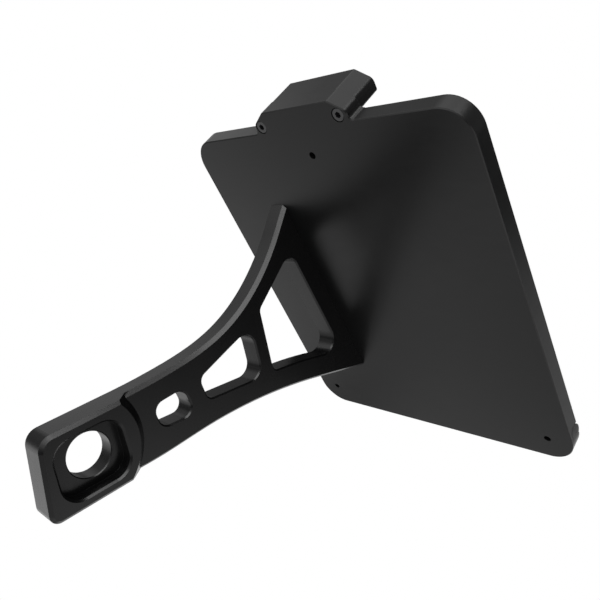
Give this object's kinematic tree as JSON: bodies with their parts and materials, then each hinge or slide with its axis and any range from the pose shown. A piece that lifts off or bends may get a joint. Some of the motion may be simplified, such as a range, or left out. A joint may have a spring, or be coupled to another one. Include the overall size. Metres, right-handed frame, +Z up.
{
  "type": "side mount licence plate holder",
  "caption": "Side mount licence plate holder: flat tray for the plate with a lamp above it, on a windowed arm that ends in a block with an axle bore and nut pocket.",
  "frame": {"origin": "centre of the axle bore, on the arm's inboard face, the one that lies against the bike", "axes": "+X along the axle, away from the wheel; +Y to the rear, the way the number plate faces; +Z up along the plate tray"},
  "size_m": [0.191, 0.2268, 0.2319],
  "materials": {
    "anodised": "satin black anodised",
    "screw_black": "black oxide steel",
    "screw_bright": "stainless steel",
    "rubber": "matt black rubber",
    "clear_lens": "clear polycarbonate",
    "board": "white solder mask",
    "led": "white body with yellow phosphor"
  },
  "bodies": {
    "root": {"arm": "anodised", "base_plate": "anodised", "lamp_housing": "anodised", "lamp_lens": "clear_lens", "lens_seal": "rubber", "led_board": "board", "leds": "led", "lens_screws": "screw_bright", "cable_grommet": "rubber", "lamp_screws": "screw_black", "arm_screws": "screw_black", "rim_bumpers": "rubber"}
  },
  "joints": []
}
